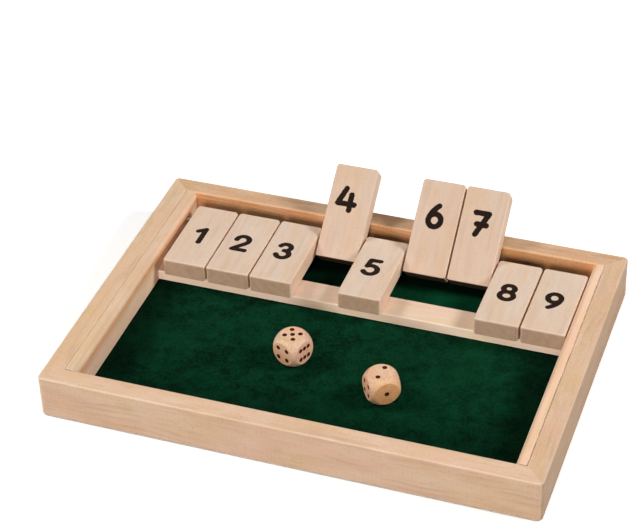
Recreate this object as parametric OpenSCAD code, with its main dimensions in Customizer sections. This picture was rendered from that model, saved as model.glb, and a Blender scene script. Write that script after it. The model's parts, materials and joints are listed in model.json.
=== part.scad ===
// Shut the box dice game: an open wooden tray with a felt floor, nine numbered tiles that flip
// on one steel rod, a ledge that the tiles lie on, and two dice with ball-rounded corners.
// The origin is on the table under the middle of the tray. X runs right, Y to the back, Z up.

/* [Tray] */
// Overall width of the tray, left to right
tray_w = 300; // [260:1:400]
// Overall depth of the tray, front to back
tray_d = 214; // [170:1:300]
// Height of the rails above the table
tray_h = 27.7; // [25.7:0.5:40.2]
// Thickness of the four mitred rails
rail_t = 12.4; // [9:0.1:18]
// Radius of the tray's outer upright corners
corner_r = 3; // [1.8:0.2:8]
// Radius of the eased long edges of the rails
rail_ease = 1; // [0.4:0.1:1.8]

/* [Floor] */
// Thickness of the base panel
base_t = 5; // [3:0.5:6]
// Width of the rebate that holds the base panel
rebate_w = 6; // [4:0.5:8]
// Gap round the base panel in its rebate
base_gap = 0.1; // [0.05:0.05:0.5]
// Thickness of the felt lining
felt_t = 1.5; // [1:0.1:2.5]

/* [Cheeks] */
// Thickness of the strips inside the left and right rails, which carry the rod
cheek_t = 6.7; // [5.5:0.1:12]
// Radius of the cheeks' rounded inner top edge
cheek_round = 4; // [2:0.5:4.5]
// Radius of the groove under that round
cheek_groove = 0.8; // [0.4:0.1:1]
// Radius of the cheeks' outer top edge, along the joint with the rail
joint_ease = 0.4; // [0.2:0.1:0.4]

/* [Ledge] */
// Width of the ledge that the tiles lie on, front to back
ledge_w = 17.5; // [10:0.5:22]
// Height of the ledge above the felt
ledge_h = 6.6; // [5.6:0.1:10]
// How far the tiles reach past the front of the ledge
tile_overhang = 3.6; // [0:0.1:5]
// Radius of the ledge's two top edges
ledge_ease = 0.8; // [0.3:0.1:2]

/* [Rod] */
// Diameter of the steel rod
rod_d = 3; // [2:0.5:4]
// Distance from the rod's axis to the back rail
rod_setback = 19; // [14:0.5:24]
// Radial play between the rod and each bore
rod_play = 0.05; // [0.02:0.01:0.1]
// Gap between each end of the rod and the side rail
rod_end_gap = 0.3; // [0.1:0.1:1]

/* [Tiles] */
// Length of a tile
tile_len = 61.2; // [45.2:0.5:75.2]
// Thickness of a tile
tile_t = 11.8; // [7:0.1:12.4]
// Distance from the rod's axis to a tile's rear end
tile_tail = 9.1; // [6:0.1:10]
// Gap between neighbouring tiles
tile_gap = 1.2; // [0.8:0.1:3]
// Side play of the whole bank of tiles between the cheeks
bank_play = 5.9; // [5.4:0.1:12]
// How far the bank stands to the right of the middle
bank_shift = 2.3; // [0:0.1:2.4]
// Radius of a tile's four upright corners
tile_corner = 2; // [1.5:0.5:5]
// Radius of a tile's long edges
tile_ease = 1; // [0.4:0.1:1.4]
// Gap under a tile that lies on the ledge, and behind one that leans on the back rail
tile_seat = 0.3; // [0.1:0.05:0.5]
// Numbers of the tiles that stand raised
raised_tiles = [4, 6, 7];

/* [Dice] */
// Edge length of a die
die_edge = 18.5; // [14:0.5:22]
// How much wider the ball that rounds a die's corners is than the die
die_bulge = 5.3; // [4.3:0.1:7]
// Diameter of a pip
pip_d = 3; // [1.6:0.1:3.2]
// Depth of a pip
pip_depth = 0.5; // [0.2:0.1:0.8]
// Spacing of the pips in a row of three
pip_step = 3.3; // [3.3:0.1:4]
// Gap under a die that lies on the felt
die_gap = 0.1; // [0.05:0.05:0.3]
// Place of the first die from the middle of the play area
die_1_place = [-23.4, 11.3];
// Turn of the first die
die_1_turn = -22.5; // [-180:0.5:180]
// Place of the second die from the middle of the play area
die_2_place = [37.3, -6.3];
// Turn of the second die
die_2_turn = -52.5; // [-180:0.1:180]

/* [Hidden] */
$fn = 64;

tile_count = 9;
// Overshoot of a cut past the face that it opens
cut = 1;

// Places inside the tray
inner_w = tray_w - 2 * rail_t;
inner_d = tray_d - 2 * rail_t;
well_w = inner_w - 2 * cheek_t;
floor_z = base_t + felt_t;
ledge_top = floor_z + ledge_h;

// The rod's axis
rod_y = inner_d / 2 - rod_setback;
rod_z = ledge_top + tile_seat + tile_t / 2;

// The bank of tiles fills the space between the cheeks
tile_w = (well_w - bank_play - (tile_count - 1) * tile_gap) / tile_count;
tile_pitch = tile_w + tile_gap;
ledge_front = rod_y + tile_tail - tile_len + tile_overhang;

// A raised tile's back leans on the eased inner edge of the back rail
lean_y = rod_setback + rail_ease;
lean_z = tray_h - rail_ease - rod_z;
lean_reach = norm([lean_y, lean_z]);
lean_angle = atan2(lean_z, lean_y) + asin((tile_t / 2 + rail_ease + tile_seat) / lean_reach);
raise_angle = 180 - lean_angle;

// Middle of the play area, in front of the ledge
play_y = (ledge_front - inner_d / 2) / 2;

// Rectangle about the middle with four rounded corners
module eased_rect(w, h, r) {
    square([w - 2 * r, h], center = true);
    square([w, h - 2 * r], center = true);
    for (x = [-1, 1], y = [-1, 1])
        translate([x * (w / 2 - r), y * (h / 2 - r)])
            circle(r);
}

// Slab standing on z = 0 with rounded upright corners and eased edges all round
module eased_slab(w, d, h, corner, ease) {
    translate([0, 0, h / 2]) {
        rotate([90, 0, 90])
            linear_extrude(w - 2 * corner, center = true)
                eased_rect(d, h, ease);
        rotate([90, 0, 0])
            linear_extrude(d - 2 * corner, center = true)
                eased_rect(w, h, ease);
        for (x = [-1, 1], y = [-1, 1])
            translate([x * (w / 2 - corner), y * (d / 2 - corner), 0])
                rotate_extrude()
                    intersection() {
                        eased_rect(2 * corner, h, ease);
                        translate([0, -h / 2])
                            square([corner, h]);
                    }
    }
}

// Sharp corner left outside a round of radius r, for easing an edge at the origin that faces +X +Y
module edge_waste(r) {
    translate([-r, -r])
        difference() {
            square(r + cut);
            circle(r);
        }
}

// One mitred rail along the front, for a frame w wide and d deep
module rail(w, d) {
    difference() {
        intersection() {
            eased_slab(w, d, tray_h, corner_r, rail_ease);
            linear_extrude(tray_h)
                polygon([[-w / 2, -d / 2], [w / 2, -d / 2],
                         [w / 2 - rail_t, rail_t - d / 2], [rail_t - w / 2, rail_t - d / 2]]);
        }
        // Rebate for the base panel
        translate([-w / 2, rail_t - rebate_w - d / 2, -cut])
            cube([w, rebate_w + cut, base_t + cut]);
        // Eased inner top edge
        translate([0, rail_t - d / 2, tray_h])
            rotate([90, 0, 90])
                linear_extrude(w, center = true)
                    edge_waste(rail_ease);
    }
}

module front_rail() {
    color("burlywood")
        rail(tray_w, tray_d);
}

module back_rail() {
    color("burlywood")
        rotate([0, 0, 180])
            rail(tray_w, tray_d);
}

module left_rail() {
    color("burlywood")
        rotate([0, 0, -90])
            rail(tray_d, tray_w);
}

module right_rail() {
    color("burlywood")
        rotate([0, 0, 90])
            rail(tray_d, tray_w);
}

module base_panel() {
    panel_w = inner_w + 2 * (rebate_w - base_gap);
    panel_d = inner_d + 2 * (rebate_w - base_gap);
    color("tan")
        translate([-panel_w / 2, -panel_d / 2, 0])
            cube([panel_w, panel_d, base_t]);
}

module felt_lining() {
    color("darkgreen")
        translate([-well_w / 2, -inner_d / 2, base_t])
            cube([well_w, inner_d, felt_t]);
}

// Cheek on the right, with its rounded edge to the left and a bore for the rod
module cheek() {
    cheek_h = tray_h - base_t;
    difference() {
        translate([well_w / 2, inner_d / 2, base_t])
            rotate([90, 0, 0])
                linear_extrude(inner_d)
                    difference() {
                        square([cheek_t, cheek_h]);
                        translate([cheek_t, cheek_h])
                            edge_waste(joint_ease);
                        translate([0, cheek_h])
                            mirror([1, 0])
                                edge_waste(cheek_round);
                        translate([0, cheek_h - cheek_round - cheek_groove])
                            circle(cheek_groove);
                    }
        translate([inner_w / 2, rod_y, rod_z])
            rotate([0, 90, 0])
                cylinder(h = 2 * cheek_t + 2 * cut, r = rod_d / 2 + rod_play, center = true);
    }
}

module right_cheek() {
    color("burlywood")
        cheek();
}

module left_cheek() {
    color("burlywood")
        mirror([1, 0, 0])
            cheek();
}

module rest_ledge() {
    color("burlywood")
        translate([0, ledge_front, floor_z])
            rotate([90, 0, 90])
                linear_extrude(well_w, center = true)
                    difference() {
                        square([ledge_w, ledge_h]);
                        translate([ledge_w, ledge_h])
                            edge_waste(ledge_ease);
                        translate([0, ledge_h])
                            mirror([1, 0])
                                edge_waste(ledge_ease);
                    }
}

module hinge_rod() {
    color("silver")
        translate([0, rod_y, rod_z])
            rotate([0, 90, 0])
                cylinder(h = inner_w - 2 * rod_end_gap, r = rod_d / 2, center = true);
}

// Tile about the rod's axis, lying forward
module tile_blank() {
    difference() {
        translate([0, tile_tail - tile_len / 2, -tile_t / 2])
            eased_slab(tile_w, tile_len, tile_t, tile_corner, tile_ease);
        rotate([0, 90, 0])
            cylinder(h = tile_w + 2 * cut, r = rod_d / 2 + rod_play, center = true);
    }
}

// Tile number n, counted from the left
module tile(n) {
    turn = search(n, raised_tiles) == [] ? 0 : raise_angle;
    tile_x = (n - (tile_count + 1) / 2) * tile_pitch + bank_shift;
    color("wheat")
        translate([tile_x, rod_y, rod_z])
            rotate([-turn, 0, 0])
                tile_blank();
}

// Places of a die's pips on one face, in steps of pip_step from the face's middle
function pips(count) =
    count == 1 ? [[0, 0]] :
    count == 2 ? [[-1, 1], [1, -1]] :
    count == 3 ? concat(pips(2), pips(1)) :
    count == 4 ? [[-1, 1], [1, -1], [1, 1], [-1, -1]] :
    count == 5 ? concat(pips(4), pips(1)) :
    concat(pips(4), [[0, 1], [0, -1]]);

// Shallow round recess in the top face of a die that is centred on the origin
module pip() {
    ball_r = (pow(pip_d / 2, 2) + pow(pip_depth, 2)) / (2 * pip_depth);
    translate([0, 0, die_edge / 2 - pip_depth + ball_r])
        sphere(ball_r);
}

// Die that shows the given counts on its right, back and top faces; opposite faces add up to seven
module die(right, back, top) {
    difference() {
        intersection() {
            cube(die_edge, center = true);
            sphere((die_edge + die_bulge) / 2);
        }
        for (face = [[right, [90, 0, 90]], [7 - right, [90, 0, -90]],
                     [back, [90, 0, 180]], [7 - back, [90, 0, 0]],
                     [top, [0, 0, 0]], [7 - top, [180, 0, 0]]])
            rotate(face[1])
                for (at = pips(face[0]))
                    translate([at[0] * pip_step, at[1] * pip_step, 0])
                        pip();
    }
}

// Sets a die down on the felt
module on_felt(place, turn) {
    translate([place[0], play_y + place[1], floor_z + die_gap + die_edge / 2])
        rotate([0, 0, turn])
            children();
}

module die_1() {
    color("wheat")
        on_felt(die_1_place, die_1_turn)
            die(right = 6, back = 3, top = 5);
}

module die_2() {
    color("wheat")
        on_felt(die_2_place, die_2_turn)
            die(right = 1, back = 3, top = 2);
}

front_rail();
back_rail();
left_rail();
right_rail();
base_panel();
felt_lining();
left_cheek();
right_cheek();
rest_ledge();
hinge_rod();
tile(1);  // tile_1
tile(2);  // tile_2
tile(3);  // tile_3
tile(4);  // tile_4
tile(5);  // tile_5
tile(6);  // tile_6
tile(7);  // tile_7
tile(8);  // tile_8
tile(9);  // tile_9
die_1();
die_2();
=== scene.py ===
"""Looks of the shut the box game: pale beech tray, felt floor, nine numbered flip tiles and two dice."""
import json
import math

import bpy
import numpy as np
from mathutils import Matrix, Vector, noise


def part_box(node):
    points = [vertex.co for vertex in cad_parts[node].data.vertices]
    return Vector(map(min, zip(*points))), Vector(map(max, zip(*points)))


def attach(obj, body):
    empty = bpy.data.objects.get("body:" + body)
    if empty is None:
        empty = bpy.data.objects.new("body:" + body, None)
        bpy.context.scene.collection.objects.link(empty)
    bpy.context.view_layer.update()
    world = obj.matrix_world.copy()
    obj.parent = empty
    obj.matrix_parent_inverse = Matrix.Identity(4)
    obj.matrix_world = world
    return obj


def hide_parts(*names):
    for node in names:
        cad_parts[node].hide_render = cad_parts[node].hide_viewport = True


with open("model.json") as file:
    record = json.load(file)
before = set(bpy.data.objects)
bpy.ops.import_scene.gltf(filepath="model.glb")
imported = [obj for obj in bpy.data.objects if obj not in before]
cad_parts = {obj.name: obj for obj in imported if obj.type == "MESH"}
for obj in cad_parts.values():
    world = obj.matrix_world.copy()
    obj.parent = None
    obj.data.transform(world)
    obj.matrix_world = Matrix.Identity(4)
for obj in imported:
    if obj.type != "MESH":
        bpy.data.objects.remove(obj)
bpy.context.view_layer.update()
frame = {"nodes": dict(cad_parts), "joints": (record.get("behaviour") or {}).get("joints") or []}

MM = 0.001

# The photograph's camera, fitted to the tray, the tiles and the dice
PHOTO_W = 640
FOCAL_PIXELS = 2063.6
SENSOR = 36.0
VIEW_AZIMUTH = math.radians(20.094)
VIEW_ELEVATION = math.radians(36.786)
VIEW_ROLL = math.radians(-1.772)
VIEW_TARGET = Vector((-0.04204, 0.0795, 0.0))
VIEW_DISTANCE = 1.31639

# Which way the grain runs, as a turn about Z from the X axis
ALONG_X = 0.0
ALONG_Y = math.pi / 2

TILE_NUMBERS = range(1, 10)
DICE = (1, 2)


def flip_joint(number):
    """The hinge of one tile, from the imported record."""
    return next(j for j in frame["joints"] if j["name"] == f"flip_{number}")


def raise_turn(number):
    """How far a tile stands raised at rest, in radians: its hinge's whole travel, or nothing."""
    low, _ = flip_joint(number)["range_deg"]
    return math.radians(-low)


def middle(node):
    """The middle of a CAD node's box."""
    low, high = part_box(node)
    return (low + high) / 2


def size(node):
    """The sides of a CAD node's box."""
    low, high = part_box(node)
    return high - low


class Shader:
    """One material, built node by node. Values may be numbers, colours or other nodes' sockets."""

    def __init__(self, name):
        self.material = bpy.data.materials.new(name)
        self.material.use_nodes = True
        self.tree = self.material.node_tree
        self.tree.nodes.clear()
        output = self.tree.nodes.new("ShaderNodeOutputMaterial")
        self.surface = self.tree.nodes.new("ShaderNodeBsdfPrincipled")
        self.tree.links.new(self.surface.outputs[0], output.inputs["Surface"])
        self.coords = self.tree.nodes.new("ShaderNodeTexCoord")

    def node(self, kind, inputs, **settings):
        """A new node with its settings, and with its inputs set or linked in their order."""
        made = self.tree.nodes.new("ShaderNode" + kind)
        for key, value in settings.items():
            setattr(made, key, value)
        for key, value in inputs.items():
            self.put(made.inputs[key], value)
        return made

    def put(self, socket, value):
        """Links the socket to another one, or sets it to a number, a colour or a vector."""
        if isinstance(value, bpy.types.NodeSocket):
            self.tree.links.new(value, socket)
        elif hasattr(value, "__len__") and len(value) == 3 and socket.type == "RGBA":
            socket.default_value = (*value, 1.0)
        else:
            socket.default_value = value

    def math(self, operation, *values):
        """Arithmetic on numbers."""
        return self.node("Math", dict(enumerate(values)), operation=operation).outputs[0]

    def vector(self, operation, *values):
        """Vector arithmetic, whose result is a number where the operation measures something."""
        made = self.node("VectorMath", dict(enumerate(values)), operation=operation)
        return made.outputs["Value" if operation in ("LENGTH", "DOT_PRODUCT") else "Vector"]

    def ramp(self, value, low, high, start=0.0, end=1.0):
        """A smooth change from start to end while the value goes from low to high."""
        inputs = {"Value": value, "From Min": low, "From Max": high, "To Min": start, "To Max": end}
        return self.node("MapRange", inputs, interpolation_type="SMOOTHSTEP").outputs["Result"]

    def mix(self, factor, first, second, blend="MIX"):
        """The first colour where the factor is 0, and the second where it is 1."""
        made = self.node("Mix", {0: factor, 6: first, 7: second}, data_type="RGBA", blend_type=blend)
        return made.outputs[2]

    def tint(self, factor, colour, tone):
        """The colour, multiplied by a tone where the factor is 1."""
        return self.mix(factor, colour, self.mix(1.0, colour, tone, "MULTIPLY"))

    def millimetres(self):
        """The place at rest in the tray's frame, in millimetres."""
        return self.vector("MULTIPLY", self.coords.outputs["Object"], (1 / MM,) * 3)

    def local(self, centre, turn):
        """Coordinates in a piece's own frame, in millimetres from its middle."""
        inputs = {"Vector": self.coords.outputs["Object"], "Location": centre,
                  "Rotation": turn, "Scale": (MM, MM, MM)}
        return self.node("Mapping", inputs, vector_type="TEXTURE").outputs[0]

    def scaled(self, point, sizes, shift=(0.0, 0.0, 0.0)):
        """The point divided by feature sizes, then shifted, for use by a noise."""
        scale = tuple(1 / s for s in sizes)
        return self.node("VectorMath", {0: point, 1: scale, 2: shift}, operation="MULTIPLY_ADD").outputs[0]

    def noise(self, point, detail=2.0, roughness=0.5):
        """Soft noise about 0.5, whose features are about one unit of the point in size."""
        inputs = {"Vector": point, "Scale": 1.0, "Detail": detail, "Roughness": roughness}
        return self.node("TexNoise", inputs).outputs[0]

    def cells(self, point):
        """Distance to the nearest cell's middle, and a random value for that cell."""
        made = self.node("TexVoronoi", {"Vector": point, "Scale": 1.0}, feature="F1")
        value = self.node("SeparateColor", {0: made.outputs["Color"]}).outputs[0]
        return made.outputs["Distance"], value

    def axes(self, point):
        """The X, Y and Z of a point."""
        return self.node("SeparateXYZ", {0: point}).outputs

    def bump(self, height, depth, strength, under=None):
        """A bump of that depth in metres, over another bump if one is given."""
        inputs = {"Height": height, "Distance": depth, "Strength": strength}
        if under is not None:
            inputs["Normal"] = under
        return self.node("Bump", inputs).outputs[0]

    def finish(self, **inputs):
        """The material, once its surface has these inputs, named with low lines for spaces."""
        for key, value in inputs.items():
            self.put(self.surface.inputs[key.replace("_", " ")], value)
        return self.material


def linear(red, green, blue):
    """Linear colour of an sRGB colour given in 0 to 255."""
    def channel(value):
        value = value / 255
        return value / 12.92 if value <= 0.04045 else ((value + 0.055) / 1.055) ** 2.4
    return tuple(channel(value) for value in (red, green, blue))


def shade(colour, factor):
    """A colour made that much lighter or darker."""
    return tuple(factor * value for value in colour)


def toned(colour, tone):
    """A colour with its red, green and blue multiplied."""
    return tuple(value * share for value, share in zip(colour, tone))


# The woods' colours, of which the pink and the golden ones come and go over a board
BEECH = linear(226, 194, 163)
BEECH_PINK = linear(225, 184, 156)
BEECH_GOLD = linear(220, 184, 142)
BEECH_TILE = linear(226, 203, 182)
BEECH_TILE_PINK = linear(227, 198, 176)
MAPLE = linear(236, 202, 168)
MAPLE_PINK = linear(238, 180, 148)
MAPLE_GOLD = linear(230, 180, 128)
END_GRAIN = linear(199, 166, 138)
# The lighter colour of clouds, the painted highlight along the edges, and the glue in the seams
CLOUD_LIGHT = linear(240, 218, 196)
EDGE_HIGHLIGHT = linear(244, 222, 200)
GLUE = linear(112, 70, 44)
# The cheeks' groove: how far it lies below their tops in millimetres, and the brown painted shade in it
GROOVE_DROP = 4.8
GROOVE_SHADE_TONE = (0.88, 0.70, 0.55)


class Board:
    """Where a wooden piece is cut from its board: middle, grain turn and half its size, in its own frame."""

    def __init__(self, centre, rotation, lengths):
        self.centre = centre
        self.rotation = rotation
        self.half = tuple(length / 2 / MM for length in lengths)
        self.grain = rotation @ Vector((1, 0, 0))


def board_of(node, grain):
    """A straight piece whose grain runs along X or Y."""
    sides = size(node)
    lengths = (sides.x, sides.y, sides.z) if grain == ALONG_X else (sides.y, sides.x, sides.z)
    return Board(middle(node), Matrix.Rotation(grain, 3, "Z"), lengths)


def board_of_tile(number):
    """A tile, whose own frame turns with it where it stands raised."""
    flat = size("tile_1")
    turn = Matrix.Rotation(-raise_turn(number), 3, "X") @ Matrix.Rotation(-ALONG_Y, 3, "Z")
    return Board(middle(f"tile_{number}"), turn, (flat.y, flat.x, flat.z))


def wood(name, board, seed, colours, ring, contrast, end=END_GRAIN, specks=0.0, faces=(), turns=(0.55, 0.9),
         seams=None):
    """Sanded wood: rings about a pith outside the board, rays, pores, drift, end grain, and edges worn
    smoother and painted lighter as highlights.

    The colours are the pale wood, and the pink and the golden wood it drifts to. Ring is the width of a
    growth ring in millimetres, contrast how plainly the grain shows, and specks how plainly small pits do.
    Faces are pairs of a direction in the tray's frame and a tone for the face that looks that way, within the
    turns given; these tones paint light and shade on single faces. Seams are the glue lines on the piece:
    "mitres", "joints" or none, and with "joints" the cheeks' groove also gets painted shade.
    """
    pale, pink, gold = colours
    random = np.random.default_rng(seed)
    s = Shader(name)
    point = s.local(board.centre, board.rotation.to_euler())
    shift = tuple(random.uniform(0, 50, 3))
    late, rings = growth_rings(s, point, shift, random, ring)

    # Rays: short dark dashes along the grain, and pores as finer strokes
    distance, chance = s.cells(s.scaled(point, (2.6, 0.42, 0.42), shift))
    flecks = s.math("MULTIPLY", s.ramp(distance, 0.18, 0.42, 1.0, 0.0), s.ramp(chance, 0.45, 0.8))
    pores = s.noise(s.scaled(point, (1.9, 0.16, 0.16), shift), 3.0, 0.6)
    streaks = s.noise(s.scaled(point, (32, 1.9, 1.9), shift), 3.0, 0.55)
    drift = s.noise(s.scaled(point, (60, 15, 15), shift), 3.0)
    warmth = s.noise(s.scaled(point, (34, 10, 10), shift[::-1]), 3.0)
    clouds = s.noise(s.scaled(point, (13, 7, 7), shift[::-1]), 3.0)
    pits = s.noise(s.scaled(point, (0.9, 0.9, 0.9), shift), 2.0, 0.5)
    edge = edges_worn_and_lit(s, point, board.half, clouds)

    colour = s.mix(s.ramp(drift, 0.36, 0.64, 0.0, 0.8), pale, pink)
    colour = s.mix(s.ramp(warmth, 0.42, 0.68, 0.0, 0.75), colour, gold)
    colour = s.mix(s.math("MULTIPLY", rings, 0.26 * contrast), colour, shade(gold, 0.68))
    colour = s.mix(s.ramp(streaks, 0.42, 0.72, 0.0, 0.20 * contrast), colour, shade(pink, 0.80))
    colour = s.mix(s.ramp(clouds, 0.45, 0.75, 0.0, 0.20), colour, CLOUD_LIGHT)
    colour = s.mix(s.math("MULTIPLY", flecks, 0.26 * contrast), colour, shade(pink, 0.52))
    colour = s.mix(s.ramp(pores, 0.52, 0.72, 0.0, 0.18 * contrast), colour, shade(pink, 0.6))
    facing = s.vector("DOT_PRODUCT", s.coords.outputs["Normal"], tuple(board.grain))
    is_end = s.ramp(s.math("ABSOLUTE", facing), 0.45, 0.85)
    colour = s.mix(is_end, colour, end_grain(s, point, shift, end, late))
    colour = s.mix(s.ramp(pits, 0.50, 0.68, 0.0, specks), colour, shade(pink, 0.55))
    # Painted highlight: lighter colour along the edges, where rounded edges catch the light
    colour = s.mix(s.math("MULTIPLY", edge, 0.20), colour, EDGE_HIGHLIGHT)
    # Painted light and shade: a face that looks one way is made lighter, darker or warmer by its tone
    for direction, tone in faces:
        turned = s.vector("DOT_PRODUCT", s.coords.outputs["Normal"], direction)
        colour = s.tint(s.ramp(turned, *turns), colour, tone)
    if seams == "joints":
        # Painted shade in the groove under the cheeks' rounded edge
        colour = s.tint(groove_shading(s), colour, GROOVE_SHADE_TONE)
    if seams:
        colour = s.mix(seam_lines(s, seams), colour, GLUE)

    height = s.math("SUBTRACT", s.math("MULTIPLY", s.math("SUBTRACT", 1.0, pores), 0.5),
                    s.math("ADD", s.math("MULTIPLY", flecks, 0.35), s.math("MULTIPLY", rings, 0.25)))
    coarse = s.bump(clouds, 0.25 * MM, 0.35)
    normal = s.bump(height, 0.06 * MM, 0.8, coarse)
    rough = s.math("ADD", s.ramp(pores, 0.3, 0.7, 0.50, 0.62), s.math("MULTIPLY", edge, -0.08))
    return s.finish(Base_Color=colour, Roughness=rough, Normal=normal, Specular_IOR_Level=0.3)


def growth_rings(s, point, shift, random, width):
    """Late wood of rings round a pith to one side of the board: all of it, and what shows along the board."""
    bend = s.noise(s.scaled(point, (70, 20, 20), shift), 3.0)
    wander = s.noise(s.scaled(point, (300, 60, 60), shift[::-1]), 1.0)
    pith_angle = random.uniform(0.35, 1.2) * (1 if random.random() < 0.5 else -1)
    pith_reach = random.uniform(60, 110)
    pith = (0.0, pith_reach * math.sin(pith_angle), -pith_reach * math.cos(pith_angle))
    across = s.vector("MULTIPLY", s.vector("SUBTRACT", point, pith), (0.0, 1.0, 1.0))
    radius = s.vector("LENGTH", across)
    radius = s.math("ADD", radius, s.math("MULTIPLY", bend, 12.0))
    radius = s.math("ADD", radius, s.math("MULTIPLY", wander, 34.0))
    phase = s.math("FRACT", s.math("DIVIDE", radius, width))
    late = s.math("MULTIPLY", s.ramp(phase, 0.15, 0.80), s.ramp(phase, 0.80, 1.0, 1.0, 0.0))
    fade = s.noise(s.scaled(point, (38, 8, 8), shift), 3.0)
    return late, s.math("MULTIPLY", late, s.ramp(fade, 0.42, 0.70))


def edges_worn_and_lit(s, point, half, clouds):
    """Nearness to the edges, from the second largest distance past the board's half size."""
    x, y, z = s.axes(s.vector("SUBTRACT", s.vector("ABSOLUTE", point), half))
    largest = s.math("MAXIMUM", s.math("MAXIMUM", x, y), z)
    least = s.math("MINIMUM", s.math("MINIMUM", x, y), z)
    second = s.math("SUBTRACT", s.math("ADD", s.math("ADD", x, y), z), s.math("ADD", largest, least))
    ragged = s.math("MULTIPLY", s.math("SUBTRACT", clouds, 0.5), 1.6)
    return s.ramp(s.math("ADD", second, ragged), -1.7, -0.1)


def end_grain(s, point, shift, end, late):
    """Colour of a face cut across the grain: blotched, dotted with pores and faintly ringed."""
    dots = s.noise(s.scaled(point, (0.5, 0.22, 0.22), shift), 2.0, 0.6)
    blots = s.noise(s.scaled(point, (5, 4, 4), shift), 3.0)
    colour = s.mix(s.ramp(blots, 0.38, 0.66, 0.0, 0.6), end, toned(end, (0.86, 0.80, 0.74)))
    colour = s.mix(s.ramp(dots, 0.4, 0.65, 0.0, 0.30), colour, shade(end, 0.70))
    return s.mix(s.math("MULTIPLY", late, 0.10), colour, shade(end, 0.7))


def seam_lines(s, seams):
    """Broken brown lines of glue: faint where rails meet in mitres, stronger where a cheek meets its rail."""
    half_w = size("front_rail").x / 2 / MM
    half_d = -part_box("front_rail")[0].y / MM
    joint_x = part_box("right_cheek")[1].x / MM
    place = s.millimetres()
    breaks = s.noise(s.scaled(place, (7, 7, 7)), 3.0, 0.6)
    x, y, _ = s.axes(s.vector("ABSOLUTE", place))
    if seams == "mitres":
        apart = s.math("SUBTRACT", s.math("SUBTRACT", half_w, x), s.math("SUBTRACT", half_d, y))
        mitre = s.ramp(s.math("ABSOLUTE", apart), 0.04, 0.25, 0.20, 0.0)
        return s.math("MULTIPLY", mitre, s.ramp(breaks, 0.35, 0.6))
    joint = s.ramp(s.math("ABSOLUTE", s.math("SUBTRACT", x, joint_x)), 0.15, 0.60, 0.42, 0.0)
    return s.math("MULTIPLY", joint, s.ramp(breaks, 0.36, 0.58))


def groove_shading(s):
    """Painted brown shade in the groove under a cheek's rounded edge, which thins out below it."""
    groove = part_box("left_cheek")[1].z / MM - GROOVE_DROP
    _, _, z = s.axes(s.millimetres())
    below = s.math("SUBTRACT", groove, z)
    return s.math("MULTIPLY", s.ramp(below, -1.6, -0.4), s.ramp(below, 0.4, 8.0, 1.0, 0.0))


# A patch of painted light on the felt: its place from the middle of the play area, and its radius, in
# millimetres
FELT_LIT_PATCH = (84.0, 33.0, 0.0)
FELT_LIT_PATCH_RADIUS = 50.0
# How far painted shade reaches in from the rims, how ragged its edge is, and the front rim's share of that
# reach
FELT_SHADE_REACH = 34.0
FELT_RAGGED = 18.0
FELT_FRONT_SHARE = 0.7
# Behind the ledge, where painted shade turns to painted light, across from the middle, and where both turn to
# black painted shade, from the ledge's back
FELT_DARK_TO_GREEN = (-12.0, 16.0)
FELT_GREEN_TO_BLACK = (19.0, 25.0)


def felt_material():
    """Dark green felt: matted fibres and a nap brushed in soft patches, with painted light and shade: a lit
    patch, shade along its borders, and light and shade behind the ledge.
    """
    s = Shader("green_felt")
    point = s.millimetres()
    nap = s.noise(s.scaled(point, (24, 22, 22)), 2.0, 0.5)
    patches = s.noise(s.scaled(point, (4.5, 4.5, 4.5)), 3.0, 0.6)
    clumps = s.noise(s.scaled(point, (9, 9, 9), (5.0, 2.0, 0.0)), 2.0, 0.5)
    tufts = s.noise(s.scaled(point, (1.5, 1.5, 1.5)), 3.0, 0.6)
    fibre_a = s.noise(s.scaled(point, (1.6, 0.16, 0.3)), 2.0, 0.6)
    fibre_b = s.noise(s.scaled(point, (0.16, 1.6, 0.3), (7.0, 3.0, 1.0)), 2.0, 0.6)
    fibres = s.math("MAXIMUM", fibre_a, fibre_b)

    colour = s.mix(s.ramp(patches, 0.34, 0.66), linear(2, 26, 14), linear(4, 48, 27))
    colour = s.mix(s.ramp(nap, 0.44, 0.66, 0.0, 0.6), colour, linear(4, 52, 28))
    colour = s.mix(s.ramp(nap, 0.34, 0.50, 0.45, 0.0), colour, linear(1, 22, 12))
    colour = s.mix(s.ramp(clumps, 0.44, 0.68, 0.0, 0.45), colour, linear(10, 60, 40))
    colour = s.mix(s.ramp(clumps, 0.34, 0.48, 0.28, 0.0), colour, linear(1, 22, 11))
    colour = s.mix(s.ramp(tufts, 0.44, 0.70, 0.0, 0.40), colour, linear(12, 66, 40))
    colour = s.mix(s.ramp(fibres, 0.55, 0.78, 0.0, 0.25), colour, linear(22, 80, 54))
    colour = s.mix(s.ramp(tufts, 0.30, 0.48, 0.34, 0.0), colour, linear(0, 18, 9))
    from_lit_patch, rim = felt_distances(s, nap)
    # Painted light: a lighter patch off the middle of the felt, where most light falls
    colour = s.mix(s.ramp(from_lit_patch, 0.0, FELT_LIT_PATCH_RADIUS, 0.22, 0.0), colour, linear(12, 70, 41))
    # Painted shade along the rims, where the rails and cheeks shade the felt
    colour = s.mix(s.ramp(rim, 0.0, FELT_SHADE_REACH, 0.60, 0.0), colour, linear(1, 16, 9))
    # Painted light and shade behind the ledge
    colour = felt_behind_ledge(s, point, colour)
    soft = s.bump(tufts, 0.3 * MM, 0.9)
    normal = s.bump(fibres, 0.25 * MM, 0.8, soft)
    return s.finish(Base_Color=colour, Roughness=0.95, Normal=normal, Specular_IOR_Level=0.03,
                    Sheen_Weight=0.04, Sheen_Roughness=0.5, Sheen_Tint=(*linear(40, 130, 80), 1.0))


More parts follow.
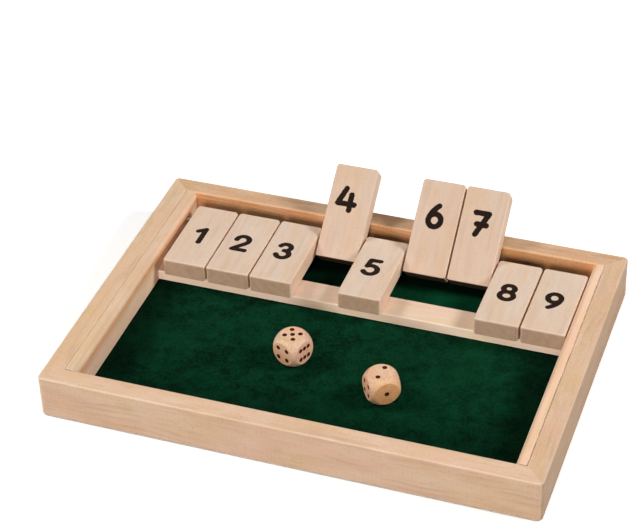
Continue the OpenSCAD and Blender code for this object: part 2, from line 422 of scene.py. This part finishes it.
def felt_distances(s, nap):
    """Distance from the patch of painted light, and from the play area's left, right or front rim for the
    painted shade along it, made ragged.
    """
    low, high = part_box("felt_lining")
    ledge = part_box("rest_ledge")[0].y
    reach_x = (high.x - low.x) / 2 / MM
    reach_y = (ledge - low.y) / 2 / MM
    place = s.local(((low.x + high.x) / 2, (low.y + ledge) / 2, high.z), (0.0, 0.0, 0.0))
    from_lit_patch = s.vector("LENGTH", s.vector("SUBTRACT", place, FELT_LIT_PATCH))
    x, y, _ = s.axes(place)
    front_rim = s.math("MULTIPLY", s.math("ADD", y, reach_y), FELT_FRONT_SHARE)
    rim = s.math("MINIMUM", s.math("SUBTRACT", reach_x, s.math("ABSOLUTE", x)), front_rim)
    return from_lit_patch, s.math("ADD", rim, s.math("MULTIPLY", s.math("SUBTRACT", nap, 0.5), FELT_RAGGED))


def felt_behind_ledge(s, point, colour):
    """Painted light and shade on the pile behind the ledge: lit green to the right, shaded dark to the left,
    and black shade at the back, under the hinge.
    """
    across, back, _ = s.axes(point)
    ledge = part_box("rest_ledge")[1].y / MM
    behind = s.ramp(back, ledge - 2.0, ledge + 6.0)
    # Painted light as lit green to the right, and painted shade as dark to the left
    green = s.math("MULTIPLY", behind, s.ramp(across, *FELT_DARK_TO_GREEN, 0.0, 0.28))
    dark = s.math("MULTIPLY", behind, s.ramp(across, *FELT_DARK_TO_GREEN, 0.62, 0.0))
    colour = s.mix(green, colour, linear(12, 86, 54))
    colour = s.mix(dark, colour, linear(0, 12, 9))
    # Painted shade: black under the raised tiles' tails
    black = s.ramp(s.math("SUBTRACT", back, ledge), *FELT_GREEN_TO_BLACK, 0.0, 0.85)
    return s.mix(black, colour, linear(0, 10, 6))


def steel_material():
    """Drawn steel rod, with fine lines round it from turning and a little dullness."""
    s = Shader("rod_steel")
    point = s.millimetres()
    lines = s.noise(s.scaled(point, (0.25, 6, 6)), 3.0, 0.6)
    cloud = s.noise(s.scaled(point, (9, 3, 3)), 2.0)
    colour = s.mix(s.ramp(cloud, 0.35, 0.7), linear(150, 142, 132), linear(104, 96, 88))
    rough = s.ramp(lines, 0.3, 0.7, 0.24, 0.42)
    return s.finish(Base_Color=colour, Metallic=1.0, Roughness=rough, Normal=s.bump(lines, 0.02 * MM, 0.5))


def ink_material(name, dark, light):
    """Matt brown-black print, thinner in small spots where the grain shows through."""
    s = Shader(name)
    point = s.millimetres()
    spots = s.noise(s.scaled(point, (0.9, 0.9, 0.9)), 4.0, 0.65)
    wide = s.noise(s.scaled(point, (4, 4, 4)), 2.0)
    colour = s.mix(s.ramp(spots, 0.45, 0.75, 0.0, 0.8), dark, light)
    colour = s.mix(s.ramp(wide, 0.45, 0.7, 0.0, 0.3), colour, light)
    return s.finish(Base_Color=colour, Roughness=s.ramp(spots, 0.3, 0.7, 0.55, 0.75),
                    Normal=s.bump(spots, 0.05 * MM, 0.6), Specular_IOR_Level=0.06)


def assign(obj, material):
    """Gives a CAD node its one material."""
    obj.data.materials.clear()
    obj.data.materials.append(material)


def mesh_object(name, points, faces, material, smooth=True):
    """A piece from points in metres and faces that index them."""
    mesh = bpy.data.meshes.new(name)
    mesh.from_pydata([tuple(p) for p in points], [], faces)
    mesh.validate()
    mesh.polygons.foreach_set("use_smooth", [smooth] * len(mesh.polygons))
    mesh.update()
    mesh.materials.append(material)
    piece = bpy.data.objects.new(name, mesh)
    bpy.context.scene.collection.objects.link(piece)
    return piece


def close_sheet(top, bottom, faces):
    """A closed solid between two sheets of points that share the faces given for the upper one."""
    count = len(top)
    edges = dict.fromkeys((a, b) for face in faces for a, b in zip(face, face[1:] + face[:1]))
    rim = [(a, b) for a, b in edges if (b, a) not in edges]
    closed = faces + [[count + i for i in reversed(face)] for face in faces]
    closed += [[a, count + a, count + b, b] for a, b in rim]
    return np.vstack([top, bottom]), closed


# The felt's grid of points, its trim at the sides, and how far its top dips and its underside lifts
FELT_CELL = 1.6 * MM
FELT_TRIM = 0.15 * MM
FELT_DIP = 0.14 * MM
FELT_LIFT = 0.02 * MM


def felt_depth(x, y, ledge):
    """How far the felt's top lies below its full height: nothing where the ledge sits on it."""
    if ledge[0].y - FELT_CELL < y < ledge[1].y + FELT_CELL:
        return 0.0
    coarse = noise.noise(Vector((x, y, 0)) / (11 * MM))
    fine = noise.noise(Vector((x, y, 1)) / (2.4 * MM))
    return max(FELT_DIP * (0.5 + 0.35 * coarse + 0.25 * fine), 0.0)


def make_felt():
    """Felt sheet between the cheeks and rails, gently uneven on top."""
    low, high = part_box("felt_lining")
    low, high = low + Vector((FELT_TRIM, FELT_TRIM, FELT_LIFT)), high - Vector((FELT_TRIM, FELT_TRIM, 0))
    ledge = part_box("rest_ledge")
    columns = round((high.x - low.x) / FELT_CELL)
    rows = round((high.y - low.y) / FELT_CELL)
    top, bottom, quads = [], [], []
    for row in range(rows + 1):
        for column in range(columns + 1):
            x = low.x + (high.x - low.x) * column / columns
            y = low.y + (high.y - low.y) * row / rows
            top.append((x, y, high.z - felt_depth(x, y, ledge)))
            bottom.append((x, y, low.z))
            if row < rows and column < columns:
                first = len(top) - 1
                quads.append([first, first + 1, first + columns + 2, first + columns + 1])
    felt = mesh_object("felt_sheet", *close_sheet(top, bottom, quads), felt_material())
    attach(felt, "tray")
    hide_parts("felt_lining")


# Numerals are pen strokes, in millimetres from their middle: a stroke's width, and an arc's step in degrees
STROKE = 3.6
ARC_STEP = 8


def line(*points):
    """The corners of a straight or bent stroke."""
    return [np.array(p, float) for p in points]


def arc(centre, radii, start, end):
    """Points along an ellipse from one angle to another, in degrees, counterclockwise if end is larger."""
    steps = max(6, int(abs(end - start) / ARC_STEP))
    angles = np.radians(np.linspace(start, end, steps + 1))
    return [np.array(centre) + np.array(radii) * (math.cos(a), math.sin(a)) for a in angles]


def curve(start, control, end):
    """Points along a quadratic curve."""
    a, b, c = (np.array(p, float) for p in (start, control, end))
    return [a * (1 - t) ** 2 + 2 * b * t * (1 - t) + c * t * t for t in np.linspace(0, 1, 13)]


NUMERALS = {
    1: [line((-2.3, 4.0), (1.8, 6.9), (1.7, -7.0))],
    2: [arc((-0.1, 3.0), (4.0, 4.0), 182, -20) + line((3.2, 0.6), (-3.9, -7.0), (4.3, -7.0))],
    3: [arc((-0.2, 3.7), (3.5, 3.3), 165, -85), arc((0.0, -3.3), (4.1, 3.8), 85, -162)],
    4: [line((-1.5, 6.8), (-5.3, -3.1), (5.4, -3.1)), line((2.6, 3.2), (2.8, -6.9))],
    5: [line((3.7, 7.0), (-2.2, 6.9), (-3.0, 0.6)), arc((-0.2, -2.8), (4.4, 4.3), 130, -150)],
    6: [curve((1.3, 6.7), (-2.9, 3.0), (-3.9, -2.4)), arc((0.1, -2.8), (4.0, 4.1), 0, 360)],
    7: [line((-4.1, 6.9), (4.1, 6.9), (-2.0, -6.9)), line((-2.3, -0.3), (3.7, -0.5))],
    8: [arc((0.0, 3.8), (3.4, 3.2), 0, 360), arc((0.0, -3.2), (4.2, 3.8), 0, 360)],
    9: [arc((0.0, 2.8), (4.0, 4.1), 0, 360), curve((4.0, 2.4), (3.7, -2.8), (-1.7, -6.8))],
}
# How far each numeral is printed to the left of its tile's middle, in millimetres
PRINT_SHIFT = {1: 0.9, 2: 1.3, 3: 1.5, 4: 2.0, 5: 1.2, 6: 1.1, 7: 0.6, 8: 0.6, 9: 0.8}
# How far a lower face's numeral lies from the hinge, and where one strays from that
LOWER_PRINT_REACH = 29.2 * MM
LOWER_PRINT_STRAY = {4: 0.8 * MM}
# The ink's film, in millimetres: its rise and root, its shoulder, and how far and how finely its edge strays
INK_RISE = 0.05
INK_ROOT = 0.03
INK_SHOULDER = 0.35
INK_RAGGED = 0.28
INK_GRAIN = (0.5, 1.1)
# The grid that a numeral is traced on, in millimetres: its cells, and its reach from the middle
INK_CELL = 0.4
INK_REACH = 11.2


def distance_to_strokes(points, strokes):
    """Distance of each point from the nearest stroke's middle line, ragged as ink on grain is."""
    nearest = np.full(len(points), np.inf)
    for stroke in strokes:
        for a, b in zip(stroke, stroke[1:]):
            span = b - a
            t = np.clip((points - a) @ span / max(span @ span, 1e-9), 0, 1)
            nearest = np.minimum(nearest, np.linalg.norm(points - a - t[:, None] * span, axis=1))
    grains = points / INK_GRAIN
    return nearest + [INK_RAGGED * noise.noise(Vector((x, y, 0.0))) for x, y in grains]


def print_of(strokes):
    """A film of ink over everything within half a stroke of the lines: points in millimetres, and faces."""
    ticks = np.arange(-INK_REACH, INK_REACH + INK_CELL, INK_CELL)
    grid = np.array([(x, y) for y in ticks for x in ticks])
    flat, faces = cut_grid(grid, STROKE / 2 - distance_to_strokes(grid, strokes), len(ticks))
    depth = STROKE / 2 - distance_to_strokes(flat, strokes)
    rise = INK_RISE * np.clip(depth / INK_SHOULDER, 0, 1) ** 0.5
    top = np.column_stack([flat, rise])
    bottom = np.column_stack([flat, np.full(len(flat), -INK_ROOT)])
    return close_sheet(top, bottom, faces)


def cut_grid(grid, inside, width):
    """The part of a square grid where inside is above 0: its points, those on its outline too, and faces."""
    points, made, faces = [], {}, []

    def corner(a, b):
        """The grid point a, or where the outline crosses from a to b."""
        key = (min(a, b), max(a, b))
        if key not in made:
            share = 0.0 if a == b else inside[a] / (inside[a] - inside[b])
            points.append(grid[a] + share * (grid[b] - grid[a]))
            made[key] = len(points) - 1
        return made[key]

    for row in range(width - 1):
        for column in range(width - 1):
            first = row * width + column
            square = (first, first + 1, first + width + 1, first + width)
            if max(inside[i] for i in square) <= 0:
                continue
            for triangle in ((square[0], square[1], square[2]), (square[0], square[2], square[3])):
                outline = []
                for a, b in zip(triangle, triangle[1:] + triangle[:1]):
                    if inside[a] > 0:
                        outline.append(corner(a, a))
                    if (inside[a] > 0) != (inside[b] > 0):
                        outline.append(corner(a, b) if inside[a] > 0 else corner(b, a))
                if len(outline) >= 3:
                    faces.append(outline)
    return np.array(points), faces


def place_of_tile(number):
    """Turns a tile's own frame, about its hinge and lying forward, into the tray's frame at rest."""
    pivot = Vector(flip_joint(number)["pos_m"])
    return Matrix.Translation(pivot) @ Matrix.Rotation(-raise_turn(number), 4, "X")


def make_numerals(number, ink):
    """The printed numerals on the upper and lower faces of one tile, each read from its own side."""
    flat = size("tile_1")
    pivot = flip_joint(1)["pos_m"]
    front, back = (corner.y - pivot[1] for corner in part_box("tile_1"))
    points, faces = print_of(NUMERALS[number])
    points = points * MM
    shift = -PRINT_SHIFT[number] * MM
    lower_reach = LOWER_PRINT_REACH + LOWER_PRINT_STRAY.get(number, 0.0)
    sides = {
        "upper": Matrix.Translation((shift, (front + back) / 2, flat.z / 2)),
        "lower": Matrix.Translation((shift, -lower_reach, -flat.z / 2)) @ Matrix.Rotation(math.pi, 4, "X"),
    }
    for side, onto_face in sides.items():
        placed = [place_of_tile(number) @ onto_face @ Vector(p) for p in points]
        piece = mesh_object(f"numeral_{number}_{side}", placed, faces, ink)
        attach(piece, f"flap_{number}")


# The dice: how far they lie turned, and the counts on three faces of each, in the die's own frame
DIE_TURN = {1: math.radians(-22.5), 2: math.radians(-52.5)}
DIE_FACES = {
    1: {"right": 6, "back": 3, "top": 5},
    2: {"right": 1, "back": 3, "top": 2},
}
# The pips and the paint's film in them, in millimetres, and the points of that film
PIP_D = 3.0
PIP_DEPTH = 0.5
PIP_STEP = 3.3
PIP_FILM = 0.03
BOWL_RINGS = 5
BOWL_SIDES = 24
# Turns of a face's own frame, which looks up, onto each side of the die
UPRIGHT = Matrix.Rotation(math.pi / 2, 4, "X")
FACE_TURNS = {
    "top": Matrix.Identity(4),
    "bottom": Matrix.Rotation(math.pi, 4, "X"),
    "front": UPRIGHT,
    "right": Matrix.Rotation(math.pi / 2, 4, "Z") @ UPRIGHT,
    "back": Matrix.Rotation(math.pi, 4, "Z") @ UPRIGHT,
    "left": Matrix.Rotation(-math.pi / 2, 4, "Z") @ UPRIGHT,
}
OPPOSITE = {"top": "bottom", "right": "left", "back": "front"}


def pips(count):
    """Places of the pips on a face, in steps from its middle."""
    if count == 1:
        return [(0, 0)]
    if count == 2:
        return [(-1, 1), (1, -1)]
    if count == 3:
        return pips(2) + pips(1)
    if count == 4:
        return [(-1, 1), (1, -1), (1, 1), (-1, -1)]
    if count == 5:
        return pips(4) + pips(1)
    return pips(4) + [(0, 1), (0, -1)]


def make_pips(number, paint):
    """Paint in every pip of one die, as thin bowls that line the recesses."""
    edge = size(f"die_{number}").z / MM
    ball = ((PIP_D / 2) ** 2 + PIP_DEPTH ** 2) / (2 * PIP_DEPTH)
    height = edge / 2 - PIP_DEPTH + ball
    points, faces = [], []
    counts = dict(DIE_FACES[number])
    counts.update({OPPOSITE[side]: 7 - count for side, count in DIE_FACES[number].items()})
    turn = Matrix.Rotation(DIE_TURN[number], 4, "Z")
    place = Matrix.Translation(middle(f"die_{number}")) @ turn @ Matrix.Scale(MM, 4)
    for side, count in counts.items():
        for across, along in pips(count):
            centre = Vector((across * PIP_STEP, along * PIP_STEP, height))
            add_pip(points, faces, place @ FACE_TURNS[side], centre, ball)
    piece = mesh_object(f"die_{number}_pips", points, faces, paint)
    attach(piece, f"loose_die_{number}")


def add_pip(points, faces, onto_face, centre, ball):
    """A film of paint in one pip: an upper and a lower bowl, joined at their rims."""
    rim_angle = math.acos((ball - PIP_DEPTH) / (ball - PIP_FILM))
    rims = []
    for radius in (ball - PIP_FILM, ball + PIP_FILM):
        first = len(points)
        points += [onto_face @ point for point in bowl(centre, radius, rim_angle)]
        add_bowl_faces(faces, first, radius > ball)
        rims.append(len(points) - BOWL_SIDES)
    upper, lower = rims
    for step in range(BOWL_SIDES):
        after = (step + 1) % BOWL_SIDES
        faces.append([upper + step, lower + step, lower + after, upper + after])


def bowl(centre, radius, rim_angle):
    """Points of the bottom of a ball: the lowest one, then rings up to the angle of the rim."""
    points = [centre - Vector((0, 0, radius))]
    for ring in range(1, BOWL_RINGS + 1):
        tilt = rim_angle * ring / BOWL_RINGS
        for step in range(BOWL_SIDES):
            a = 2 * math.pi * step / BOWL_SIDES
            out = math.sin(tilt)
            points.append(centre + radius * Vector((out * math.cos(a), out * math.sin(a), -math.cos(tilt))))
    return points


def add_bowl_faces(faces, first, outward):
    """Faces of one bowl of rings round its lowest point. The upper side faces up unless outward is set."""
    for step in range(BOWL_SIDES):
        after = (step + 1) % BOWL_SIDES
        fan = [first, first + 1 + step, first + 1 + after]
        faces.append(fan[::-1] if outward else fan)
        for ring in range(BOWL_RINGS - 1):
            inner = first + 1 + ring * BOWL_SIDES
            outer = inner + BOWL_SIDES
            quad = [inner + step, outer + step, outer + after, inner + after]
            faces.append(quad[::-1] if outward else quad)


# What sets the rails apart: the grain's way and contrast, the board's tone, and single faces' tones, which
# are painted light and shade
RAILS = {
    "front_rail": (ALONG_X, 1.6, (1.06, 1.04, 1.04), [((0, -1, 0), (1.18, 1.16, 1.16))]),
    "back_rail": (ALONG_X, 2.6, (0.94, 0.86, 0.73), [((0, -1, 0), (1.28, 0.96, 0.72))]),
    "left_rail": (ALONG_Y, 1.7, (1.02, 1.01, 0.95), []),
    "right_rail": (ALONG_Y, 1.8, (1.0, 0.98, 0.95), [((1, 0, 0), (0.76, 0.71, 0.66))]),
}
# The same for the strips inside the tray, which share one contrast; their single faces' tones paint light on
# the faces that look inward and forward
STRIPS = {
    "left_cheek": (ALONG_Y, (1.04, 1.04, 1.02), [((1, 0, 0), (1.22, 1.24, 1.30))]),
    "right_cheek": (ALONG_Y, (1.26, 1.22, 1.22), [((-1, 0, 0), (1.06, 1.08, 1.14))]),
    "rest_ledge": (ALONG_X, (1.12, 1.22, 1.34), [((0, -1, 0), (1.42, 1.44, 1.50))]),
}
# Painted light and shade on the tiles: darker undersides, lighter right-hand sides, and near-black rear ends
# as deep shade
TILE_UNDER_SHADE = (0.89, 0.84, 0.81)
TILE_RIGHT_LIGHT = (1.12, 1.08, 1.04)
TILE_REAR_SHADE = (0.06, 0.05, 0.045)
# The dice's end grain, the painted shade on their four upright faces, and how squarely a surface has to face
# that way
DIE_END = {1: linear(244, 200, 172), 2: linear(240, 188, 134)}
DIE_SIDE_SHADE = (0.98, 0.88, 0.82)
DIE_SIDE_TURNS = (0.95, 0.99)
# The first seed of each kind of board
RAIL_SEED = 11
STRIP_SEED = 21
BASE_SEED = 31
TILE_SEED = 41
DIE_SEED = 61


def dress_tray():
    """Wood for the rails, the strips inside them and the base, each cut from its own place in the board."""
    beech = (BEECH, BEECH_PINK, BEECH_GOLD)
    for seed, (node, (grain, contrast, tone, faces)) in enumerate(RAILS.items(), RAIL_SEED):
        colours = [toned(colour, tone) for colour in beech]
        material = wood(node + "_beech", board_of(node, grain), seed, colours, ring=3.4, contrast=contrast,
                        faces=faces, seams="mitres")
        assign(frame["nodes"][node], material)
    for seed, (node, (grain, tone, faces)) in enumerate(STRIPS.items(), STRIP_SEED):
        colours = [toned(colour, tone) for colour in beech]
        seams = None if node == "rest_ledge" else "joints"
        material = wood(node + "_beech", board_of(node, grain), seed, colours, ring=3.0, contrast=0.8,
                        faces=faces, seams=seams)
        assign(frame["nodes"][node], material)
    board = board_of("base_panel", ALONG_X)
    material = wood("base_veneer", board, BASE_SEED, beech, ring=5.0, contrast=1.0)
    assign(frame["nodes"]["base_panel"], material)


def dress_tiles():
    """Paler beech for the tiles, whose faces keep their painted light and shade where a tile stands raised.
    """
    colours = (BEECH_TILE, BEECH_TILE_PINK, BEECH)
    for seed, number in enumerate(TILE_NUMBERS, TILE_SEED):
        board = board_of_tile(number)
        under = board.rotation @ Vector((0, 0, -1))
        # Painted shade on the undersides and rear ends, and painted light on the right-hand sides
        faces = [(tuple(under), TILE_UNDER_SHADE), (tuple(-board.grain), TILE_REAR_SHADE), ((1, 0, 0), TILE_RIGHT_LIGHT)]
        material = wood(f"tile_{number}_beech", board, seed, colours, ring=5.5, contrast=1.1, faces=faces)
        assign(frame["nodes"][f"tile_{number}"], material)


def dress_dice():
    """Speckled maple for the dice, with painted shade that makes their four upright sides a little darker and
    warmer.
    """
    colours = (MAPLE, MAPLE_PINK, MAPLE_GOLD)
    for seed, number in enumerate(DICE, DIE_SEED):
        node = f"die_{number}"
        turn = Matrix.Rotation(DIE_TURN[number], 3, "Z")
        edge = size(node).z
        board = Board(middle(node), turn, (edge, edge, edge))
        sides = [turn @ Vector(side) for side in ((1, 0, 0), (-1, 0, 0), (0, 1, 0), (0, -1, 0))]
        # Painted shade on the four upright sides
        faces = [(tuple(side), DIE_SIDE_SHADE) for side in sides]
        material = wood(node + "_maple", board, seed, colours, ring=4.0, contrast=1.2, end=DIE_END[number],
                        specks=0.45, faces=faces, turns=DIE_SIDE_TURNS)
        assign(frame["nodes"][node], material)


def make_camera():
    """The photograph's view."""
    azimuth, elevation = VIEW_AZIMUTH, VIEW_ELEVATION
    back = Vector((math.sin(azimuth) * math.cos(elevation), -math.cos(azimuth) * math.cos(elevation),
                   math.sin(elevation)))
    right = (-back).cross(Vector((0, 0, 1))).normalized()
    up = right.cross(-back)
    rolled_right = math.cos(VIEW_ROLL) * right + math.sin(VIEW_ROLL) * up
    rolled_up = -math.sin(VIEW_ROLL) * right + math.cos(VIEW_ROLL) * up
    data = bpy.data.cameras.new("camera")
    data.sensor_width = SENSOR
    data.lens = FOCAL_PIXELS / PHOTO_W * SENSOR
    data.clip_end = 20
    camera = bpy.data.objects.new("camera", data)
    rotation = Matrix((rolled_right, rolled_up, back)).transposed()
    camera.matrix_world = Matrix.Translation(VIEW_TARGET + back * VIEW_DISTANCE) @ rotation.to_4x4()
    bpy.context.scene.collection.objects.link(camera)
    bpy.context.scene.camera = camera


# The lamps: a place in metres, a width, and the level they light the tray to
LAMPS = {
    "left_lamp": ((-1.25, -0.2, 1.15), 0.4, 0.51),
    "right_lamp": ((1.3, 0.3, 1.05), 0.4, 0.62),
    "front_lamp": ((0.1, -1.8, 0.6), 0.8, 0.58),
}
WORLD_LIGHT = 0.07


def make_lamp(name, place, width, level):
    """A square soft box that faces the tray and lights it to that level when it shines straight on it."""
    data = bpy.data.lights.new(name, "AREA")
    data.shape = "SQUARE"
    data.size = width
    place = Vector(place)
    # Straight ahead of it, a lamp of power P lights white to P / (pi * distance) ** 2
    data.energy = level * (math.pi * place.length) ** 2
    lamp = bpy.data.objects.new(name, data)
    lamp.location = place
    lamp.rotation_euler = place.to_track_quat("Z", "Y").to_euler()
    lamp.visible_camera = False
    bpy.context.scene.collection.objects.link(lamp)


def make_lights():
    """One lamp to either side for the upper faces, and a larger low one for the front faces."""
    for name, (place, width, level) in LAMPS.items():
        make_lamp(name, place, width, level)


def make_world():
    """Even white surroundings: dim light on the object, and pure white behind it and in its reflections."""
    world = bpy.data.worlds.new("studio")
    world.use_nodes = True
    bpy.context.scene.world = world
    tree = world.node_tree
    path = tree.nodes.new("ShaderNodeLightPath").outputs
    seen = path["Is Camera Ray"]
    for ray in ("Is Glossy Ray", "Is Transmission Ray"):
        either = tree.nodes.new("ShaderNodeMath")
        either.operation = "MAXIMUM"
        tree.links.new(seen, either.inputs[0])
        tree.links.new(path[ray], either.inputs[1])
        seen = either.outputs[0]
    level = tree.nodes.new("ShaderNodeMapRange")
    level.inputs["To Min"].default_value = WORLD_LIGHT
    level.inputs["To Max"].default_value = 1.0
    tree.links.new(seen, level.inputs["Value"])
    background = tree.nodes["Background"]
    background.inputs["Color"].default_value = (1.0, 1.0, 1.0, 1.0)
    tree.links.new(level.outputs[0], background.inputs["Strength"])


# The floor: its brightness to the lamps, where it gives way to plain white, its reach and its drop
FLOOR_WHITE = (1.5, 1.5, 1.5)
FLOOR_NEAR = 0.45
FLOOR_FAR = 0.75
FLOOR_REACH = 4.0
FLOOR_DROP = 0.3 * MM


def make_floor():
    """White table, so bright that only the object's shadow shows on it, and see-through from below."""
    s = Shader("white_floor")
    away = s.ramp(s.vector("LENGTH", s.coords.outputs["Object"]), FLOOR_NEAR, FLOOR_FAR)
    diffuse = s.node("BsdfDiffuse", {"Color": FLOOR_WHITE})
    glow = s.node("Emission", {"Color": (1.0, 1.0, 1.0), "Strength": 1.0})
    near = s.node("MixShader", {0: away, 1: diffuse.outputs[0], 2: glow.outputs[0]})
    clear = s.node("BsdfTransparent", {})
    below = s.tree.nodes.new("ShaderNodeNewGeometry").outputs["Backfacing"]
    shown = s.node("MixShader", {0: below, 1: near.outputs[0], 2: clear.outputs[0]})
    output = next(n for n in s.tree.nodes if n.bl_idname == "ShaderNodeOutputMaterial")
    s.tree.links.new(shown.outputs[0], output.inputs["Surface"])
    square = ((-1, -1), (1, -1), (1, 1), (-1, 1))
    corners = [(x * FLOOR_REACH, y * FLOOR_REACH, -FLOOR_DROP) for x, y in square]
    floor = mesh_object("floor", corners, [(0, 1, 2, 3)], s.material, smooth=False)
    floor.visible_diffuse = False
    floor.visible_shadow = False


make_camera()
make_lights()
make_world()
make_floor()
dress_tray()
dress_tiles()
dress_dice()
assign(frame["nodes"]["hinge_rod"], steel_material())
make_felt()
numeral_ink = ink_material("numeral_ink", linear(26, 16, 11), linear(56, 38, 27))
pip_paint = ink_material("pip_paint", linear(66, 26, 12), linear(92, 44, 24))
for tile_number in TILE_NUMBERS:
    make_numerals(tile_number, numeral_ink)
for die_number in DICE:
    make_pips(die_number, pip_paint)

bpy.context.scene.view_settings.view_transform = "Standard"
